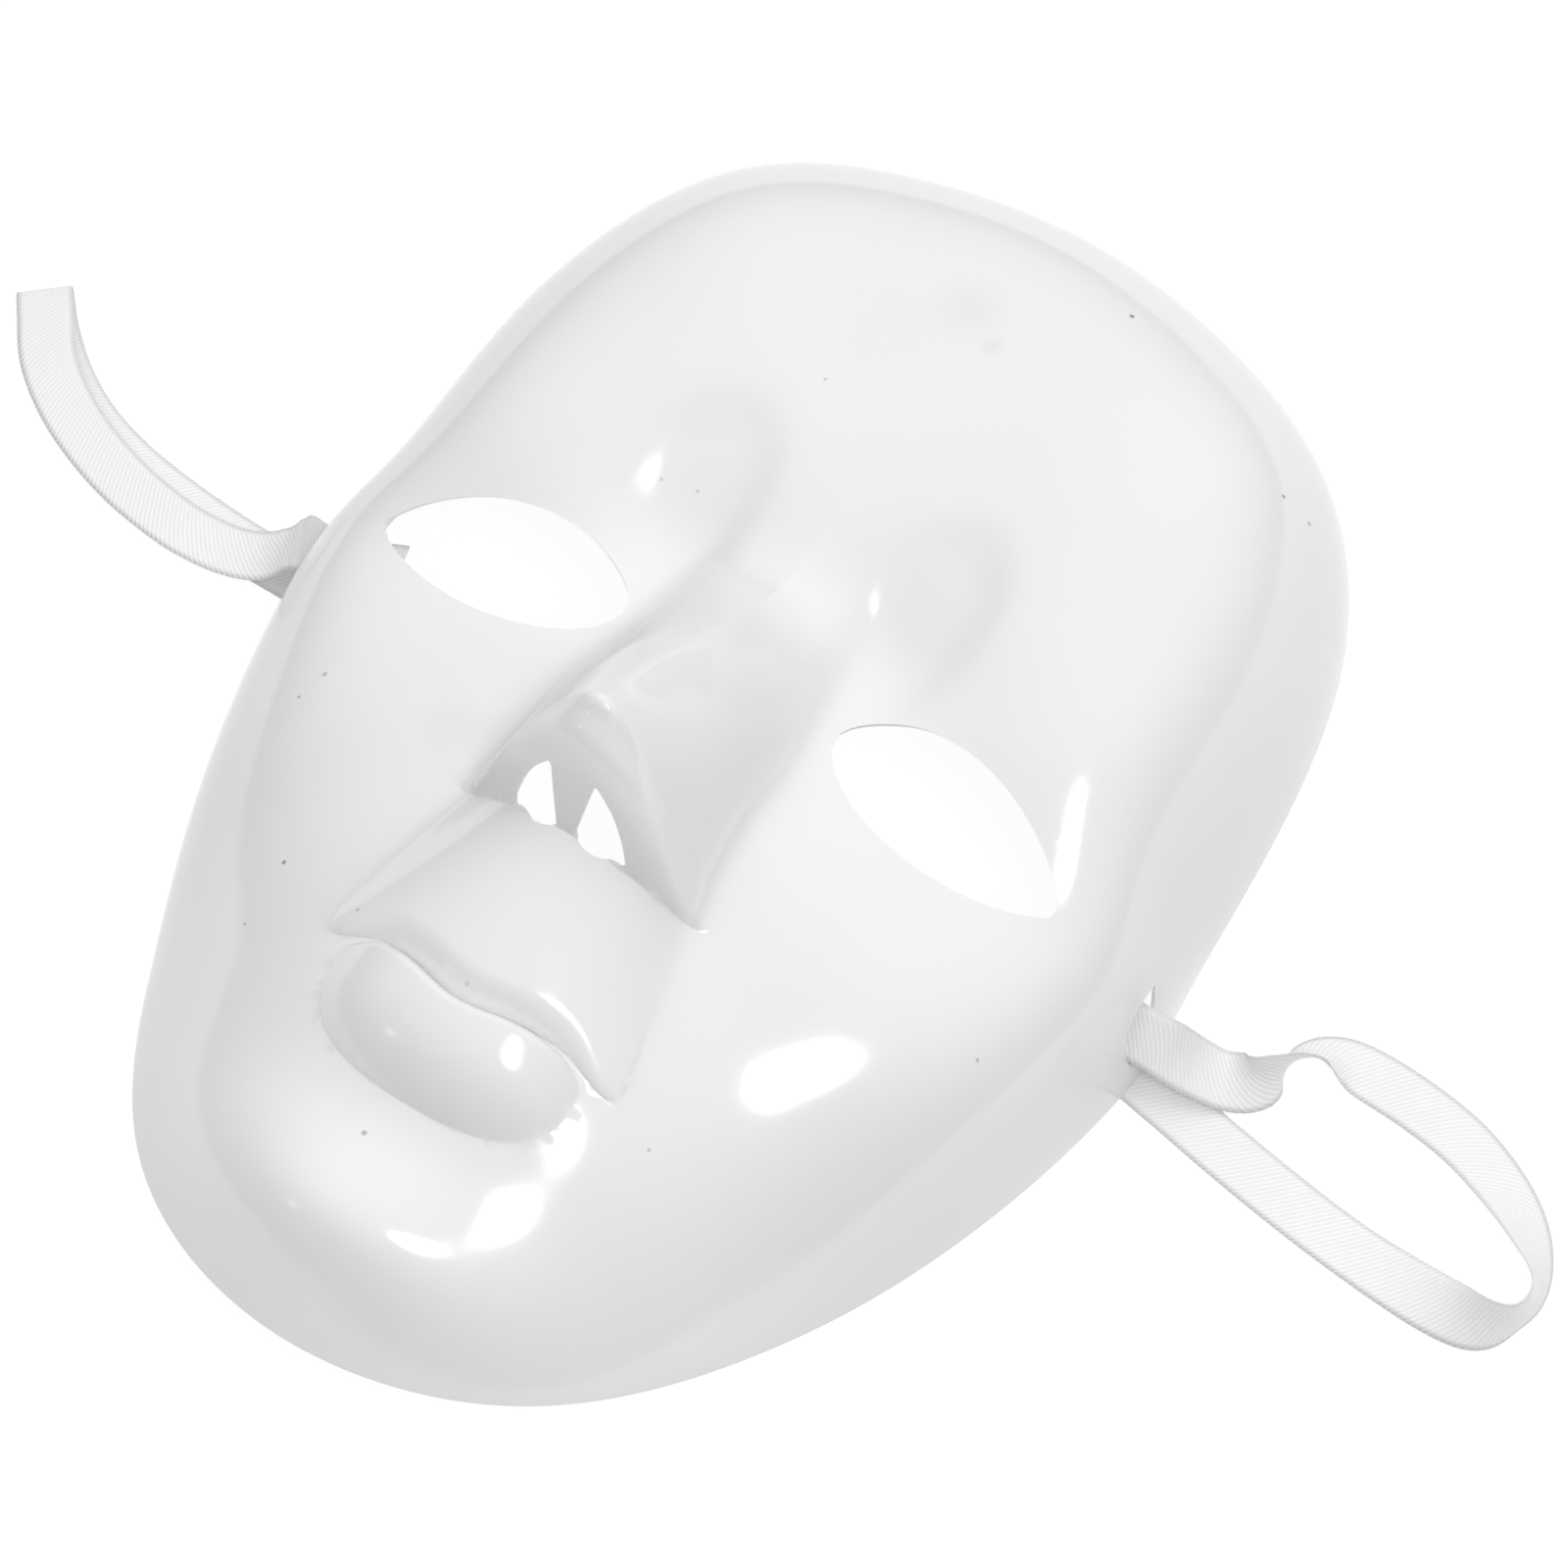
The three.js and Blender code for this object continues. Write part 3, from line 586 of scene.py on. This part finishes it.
def shell_mesh():
    """Outer sheet, the same sheet moved in by the wall, and strips around every edge."""
    spoke_angles, ring_reaches = web()
    rings, spokes = len(ring_reaches), len(spoke_angles)
    angle = np.concatenate([[0.0], np.tile(spoke_angles, rings)])
    reach = np.concatenate([[0.0], np.repeat(ring_reaches, spokes)])
    ring, spoke = np.meshgrid(np.arange(rings - 1), np.arange(spokes), indexing="ij")
    after = (spoke + 1) % spokes
    a, b = 1 + ring * spokes + spoke, 1 + (ring + 1) * spokes + spoke
    c, d = 1 + (ring + 1) * spokes + after, 1 + ring * spokes + after
    left = (spoke < spokes // 2)[..., None]
    first = np.where(left, np.stack([a, b, c], -1), np.stack([a, b, d], -1))
    second = np.where(left, np.stack([a, c, d], -1), np.stack([b, c, d], -1))
    hub = np.stack([np.zeros(spokes, int), 1 + np.arange(spokes), 1 + (np.arange(spokes) + 1) % spokes], -1)
    faces = np.vstack([hub, first.reshape(-1, 3), second.reshape(-1, 3)])
    points = place(angle, reach)
    for _ in range(HALVINGS):
        angle, reach, points, faces = halve_edges(angle, reach, points, faces)
    for distance in (eye_distance, nostril_distance, slit_distance):
        angle, reach, points, faces = open_hole(angle, reach, points, distance, faces)
    used = np.unique(faces)
    renumber = np.zeros(len(points), int)
    renumber[used] = np.arange(len(used))
    points, faces, reach = points[used], renumber[faces], reach[used]
    corner = points[faces]
    push = np.cross(corner[:, 1] - corner[:, 0], corner[:, 2] - corner[:, 0])
    normal = np.zeros_like(points)
    for k in range(3):
        np.add.at(normal, faces[:, k], push)
    normal /= np.linalg.norm(normal, axis=1)[:, None]
    at_rim = reach > HUB_Y + HALF_LENGTH - 1e-6
    inner = points - WALL * normal
    inner[at_rim, 2] = points[at_rim, 2]
    count = len(points)
    edges = np.vstack([faces[:, (0, 1)], faces[:, (1, 2)], faces[:, (2, 0)]])
    key = np.sort(edges, 1)
    _, where, times = np.unique(key, axis=0, return_index=True, return_counts=True)
    border = edges[where[times == 1]]
    a, b = border.T
    strip = np.vstack([np.stack([a, a + count, b], -1), np.stack([b, a + count, b + count], -1)])
    faces = np.vstack([faces, faces[:, ::-1] + count, strip])
    sharp = np.vstack([border, border + count])
    return np.vstack([points, inner]), faces, sharp


def mesh_object(name, points, faces, sharp=()):
    """A smooth shaded object from points in millimetres, with its sharp edges marked."""
    mesh = bpy.data.meshes.new(name)
    mesh.from_pydata((np.asarray(points) * MM).tolist(), [], np.asarray(faces).tolist())
    mesh.update()
    mesh.shade_smooth()
    if len(sharp):
        ends = np.empty(2 * len(mesh.edges), np.int32)
        mesh.edges.foreach_get("vertices", ends)
        ends = np.sort(ends.reshape(-1, 2), 1).astype(np.int64)
        count = len(points)
        marked = np.isin(ends[:, 0] * count + ends[:, 1], np.sort(sharp, 1) @ np.array([count, 1]))
        crisp = mesh.attributes.new("sharp_edge", "BOOLEAN", "EDGE")
        crisp.data.foreach_set("value", marked)
    piece = bpy.data.objects.new(name, mesh)
    bpy.context.scene.collection.objects.link(piece)
    return piece


def add_node(tree, kind, settings=(), links=()):
    """A node with its settings on attributes or sockets, and its input sockets linked."""
    node = tree.nodes.new(kind)
    for key, value in dict(settings).items():
        if isinstance(key, int) or key in node.inputs:
            node.inputs[key].default_value = value
        else:
            setattr(node, key, value)
    for key, socket in dict(links).items():
        tree.links.new(socket, node.inputs[key])
    return node


def new_material(name):
    """An empty node material and its tree."""
    material = bpy.data.materials.new(name)
    material.use_nodes = True
    material.node_tree.nodes.clear()
    return material, material.node_tree


# The colour sockets of Blender's mix node, by number, since all its inputs share a few names
FIRST_COLOUR = 6
SECOND_COLOUR = 7
MIXED_COLOUR = 2


def mix(tree, share, first, second):
    """The first colour where the share is 0 and the second where it is 1; either may be a socket."""
    node = add_node(tree, "ShaderNodeMix", {"data_type": "RGBA"}, {0: share})
    for socket, colour in ((node.inputs[FIRST_COLOUR], first), (node.inputs[SECOND_COLOUR], second)):
        if isinstance(colour, str):
            socket.default_value = linear(colour)
        else:
            tree.links.new(colour, socket)
    return node.outputs[MIXED_COLOUR]


def marks(tree, places, softness):
    """Where the dirt is, from 0 to 1: the strongest of round marks seen from above."""
    where = add_node(tree, "ShaderNodeTexCoord").outputs["Object"]
    from_above = {"operation": "MULTIPLY", 1: (1, 1, 0)}
    flat = add_node(tree, "ShaderNodeVectorMath", from_above, {0: where}).outputs[0]
    total = None
    for x, y, radius, strength in places:
        from_centre = {"operation": "DISTANCE", 1: (x * MM, y * MM, 0)}
        off = add_node(tree, "ShaderNodeVectorMath", from_centre, {0: flat})
        mark = add_node(tree, "ShaderNodeMapRange", {
            "interpolation_type": "SMOOTHSTEP",
            "From Min": radius * MM,
            "From Max": radius * (1 - softness) * MM,
            "To Max": strength,
        }, {"Value": off.outputs["Value"]}).outputs["Result"]
        if total is None:
            total = mark
        else:
            total = add_node(tree, "ShaderNodeMath", {"operation": "MAXIMUM"}, {0: total, 1: mark}).outputs[0]
    return total


def shell_plastic():
    """Thin white rigid PVC, vacuum formed and left glossy.

    The eye sees an even cool white with sharp white highlights that waver a little where the sheet
    cooled unevenly, a few dark specks of dust and two or three faint grey smudges.
    """
    material, tree = new_material("vacuum_formed_white_pvc")
    where = add_node(tree, "ShaderNodeTexCoord").outputs["Object"]
    cloud = add_node(tree, "ShaderNodeTexNoise", {"Scale": 22.0, "Detail": 2.0}, {"Vector": where})
    even = mix(tree, cloud.outputs[0], SHEET_LIGHT, SHEET_DARK)
    smudged = mix(tree, marks(tree, SMUDGES, 1.0), even, SMUDGE)
    colour = mix(tree, marks(tree, SPECKS, 0.6), smudged, SPECK)
    wave = add_node(tree, "ShaderNodeTexNoise", {"Scale": 60.0, "Detail": 1.0}, {"Vector": where})
    wavy = add_node(tree, "ShaderNodeBump", {"Distance": WAVE_HEIGHT * MM}, {"Height": wave.outputs[0]})
    shader = add_node(tree, "ShaderNodeBsdfPrincipled", {
        "Roughness": 0.13,
        "IOR": 1.53,
    }, {"Base Color": colour, "Normal": wavy.outputs["Normal"]})
    add_node(tree, "ShaderNodeOutputMaterial", links={"Surface": shader.outputs["BSDF"]})
    return material


def ribbon_cloth():
    """White polyester twill ribbon.

    The eye sees a matt white band with fine slanting ribs, their grooves darkened by painted shade, and a
    slightly greyer woven edge. Its own coordinates hold the millimetres across it and along it.
    """
    material, tree = new_material("polyester_twill_ribbon")
    place_on_band = add_node(tree, "ShaderNodeUVMap", {"uv_map": "band"}).outputs["UV"]
    slant = np.radians(RIB_SLANT)
    turns = tuple(np.array([np.sin(slant), np.cos(slant), 0]) * 2 * np.pi / RIB_PITCH)
    phase = add_node(tree, "ShaderNodeVectorMath", {"operation": "DOT_PRODUCT", 1: turns}, {0: place_on_band})
    rib = add_node(tree, "ShaderNodeMath", {"operation": "SINE"}, {0: phase.outputs["Value"]}).outputs[0]
    # painted shade: the colour turns darker in the grooves between the ribs, following the same wave as the
    # bump
    groove_shade = add_node(tree, "ShaderNodeMapRange", {"From Min": 1.0, "From Max": -1.0}, {"Value": rib})
    across = add_node(tree, "ShaderNodeSeparateXYZ", links={0: place_on_band}).outputs["X"]
    off = add_node(tree, "ShaderNodeMath", {"operation": "ABSOLUTE"}, {0: across}).outputs[0]
    edge = add_node(tree, "ShaderNodeMapRange", {
        "interpolation_type": "SMOOTHSTEP",
        "From Min": RIBBON_WIDTH / 2 - 2 * SELVEDGE,
        "From Max": RIBBON_WIDTH / 2 - SELVEDGE,
    }, {"Value": off})
    woven_and_shaded = mix(tree, groove_shade.outputs["Result"], RIB_TOP, RIB_GROOVE_SHADE)
    colour = mix(tree, edge.outputs["Result"], woven_and_shaded, RIBBON_EDGE)
    ribbed = add_node(tree, "ShaderNodeBump", {"Distance": RIB_HEIGHT * MM}, {"Height": rib})
    shader = add_node(tree, "ShaderNodeBsdfPrincipled", {
        "Roughness": 0.6,
        "Sheen Weight": 0.3,
    }, {"Base Color": colour, "Normal": ribbed.outputs["Normal"]})
    add_node(tree, "ShaderNodeOutputMaterial", links={"Surface": shader.outputs["BSDF"]})
    return material


def outward(azimuth, elevation):
    """Unit vector from the mask to a place around it, from two angles in radians."""
    level = np.cos(elevation)
    return np.array([np.sin(azimuth) * level, -np.cos(azimuth) * level, np.sin(elevation)])


def set_camera():
    """The camera at the photograph's place, turned to its aim with the horizon level."""
    azimuth, elevation = np.radians((CAMERA_AZIMUTH, CAMERA_ELEVATION))
    back = outward(azimuth, elevation)
    data = bpy.data.cameras.new("camera")
    data.lens = CAMERA_LENS
    data.sensor_width = CAMERA_SENSOR
    camera = bpy.data.objects.new("camera", data)
    camera.location = (np.array(CAMERA_AIM) + back * CAMERA_DISTANCE) * MM
    camera.rotation_euler = (np.pi / 2 - elevation, 0, azimuth)
    bpy.context.scene.collection.objects.link(camera)
    bpy.context.scene.camera = camera


def ribbon_frame(route, steps):
    """Middle, width direction and face direction at each station of a ribbon."""
    stations = through(route, steps)
    middle = stations[:, :3]
    along = np.empty_like(middle)
    along[1:-1] = middle[2:] - middle[:-2]
    along[0], along[-1] = middle[1] - middle[0], middle[-1] - middle[-2]
    along /= np.linalg.norm(along, axis=1)[:, None]
    heading, tilt = np.radians(stations[:, 3]), np.radians(stations[:, 4])
    width = np.stack([np.cos(heading) * np.cos(tilt), np.sin(heading) * np.cos(tilt), np.sin(tilt)], -1)
    width -= along * (width * along).sum(1)[:, None]
    width /= np.linalg.norm(width, axis=1)[:, None]
    return middle, width, np.cross(along, width)


def ribbon_mesh(route):
    """A closed band along the route, thinner at its edges, and where each point is on the flat band."""
    middle, width, face = ribbon_frame(route, RIBBON_STEPS)
    across = np.linspace(-1, 1, RIBBON_LANES)
    half = RIBBON_THICKNESS / 2 * (1 - EDGE_THINNING * across**8)
    u = np.concatenate([across, across[::-1]]) * RIBBON_WIDTH / 2
    v = np.concatenate([-half, half[::-1]])
    points = middle[:, None] + u[:, None] * width[:, None] + v[:, None] * face[:, None]
    stations, around = points.shape[:2]
    i, j = np.meshgrid(np.arange(stations - 1), np.arange(around), indexing="ij")
    k = (j + 1) % around
    sides = np.stack([i * around + j, i * around + k, (i + 1) * around + k, (i + 1) * around + j], -1)
    first = np.arange(around)[::-1]
    last = (stations - 1) * around + np.arange(around)
    faces = [*sides.reshape(-1, 4).tolist(), first.tolist(), last.tolist()]
    run = np.concatenate([[0], np.cumsum(np.linalg.norm(np.diff(middle, axis=0), axis=1))])
    on_band = np.stack(np.broadcast_arrays(u, run[:, None]), -1)
    return points.reshape(-1, 3), faces, middle, on_band.reshape(-1, 2)


def make_tie(name, route, cloth):
    """One ribbon as a free cord that replaces its plain solid."""
    points, faces, middle, on_band = ribbon_mesh(route)
    mesh = bpy.data.meshes.new(name)
    mesh.from_pydata((points * MM).tolist(), [], faces)
    mesh.shade_smooth()
    corners = np.empty(len(mesh.loops), np.int32)
    mesh.loops.foreach_get("vertex_index", corners)
    mesh.uv_layers.new(name="band").data.foreach_set("uv", on_band[corners].ravel())
    tie = bpy.data.objects.new(name + "_ribbon", mesh)
    bpy.context.scene.collection.objects.link(tie)
    tie.data.materials.append(cloth)
    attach(tie, "root")
    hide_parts(name)
    return tie


def make_shell(plastic):
    """The mask itself, in place of its plain solid."""
    points, faces, sharp = shell_mesh()
    shell = mesh_object("mask_face", points, faces, sharp)
    shell.data.materials.append(plastic)
    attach(shell, "root")
    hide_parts("mask_shell")
    return shell


def add_softbox(name, azimuth, elevation, distance, size, power, aim=(0, 0, 30)):
    """An oval area light around the mask, facing it."""
    a, e = np.radians((azimuth, elevation))
    data = bpy.data.lights.new(name, "AREA")
    data.shape = "ELLIPSE"
    data.size, data.size_y = np.array(size) * MM
    data.energy = power
    light = bpy.data.objects.new(name, data)
    light.location = (np.array(aim) + outward(a, e) * distance) * MM
    light.rotation_euler = (np.pi / 2 - e, 0, a)
    bpy.context.scene.collection.objects.link(light)
    return light


def make_floor():
    """A plain white table that glows a little, so that it stays white where the mask shades it."""
    edge, top = FLOOR_HALF, FLOOR_TOP
    corners = [(-edge, -edge, top), (edge, -edge, top), (edge, edge, top), (-edge, edge, top)]
    floor = mesh_object("table_top", corners, [(0, 1, 2, 3)])
    material, tree = new_material("white_light_table")
    shader = add_node(tree, "ShaderNodeBsdfPrincipled", {
        "Base Color": (0.2, 0.2, 0.2, 1),
        "Roughness": 0.9,
        "Specular IOR Level": 0.0,
        "Emission Color": (1, 1, 1, 1),
        "Emission Strength": 0.85,
    })
    add_node(tree, "ShaderNodeOutputMaterial", links={"Surface": shader.outputs["BSDF"]})
    floor.data.materials.append(material)


def set_lights():
    """A white sky that is dark at the horizon, a softbox for the highlights and a small one beside it."""
    world = bpy.data.worlds.new("studio")
    world.use_nodes = True
    tree = world.node_tree
    background = tree.nodes["Background"]
    background.inputs["Color"].default_value = (1, 1, 1, 1)
    direction = add_node(tree, "ShaderNodeTexCoord").outputs["Generated"]
    height = add_node(tree, "ShaderNodeVectorMath", {"operation": "DOT_PRODUCT", 1: SKY_AXIS}, {0: direction})
    ramp = add_node(tree, "ShaderNodeMapRange", {
        "interpolation_type": "SMOOTHSTEP",
        "From Min": SKY_DARK_BELOW,
        "From Max": 1.0,
        "To Max": SKY_ZENITH,
    }, {"Value": height.outputs["Value"]})
    tree.links.new(ramp.outputs["Result"], background.inputs["Strength"])
    bpy.context.scene.world = world
    add_softbox("key_softbox", *KEY)
    add_softbox("side_lamp", *SIDE)
    bpy.context.scene.view_settings.view_transform = "Standard"


set_camera()
cloth = ribbon_cloth()
make_tie("tie_right", TIE_RIGHT, cloth)
make_tie("tie_left", TIE_LEFT, cloth)
make_shell(shell_plastic())
make_floor()
set_lights()
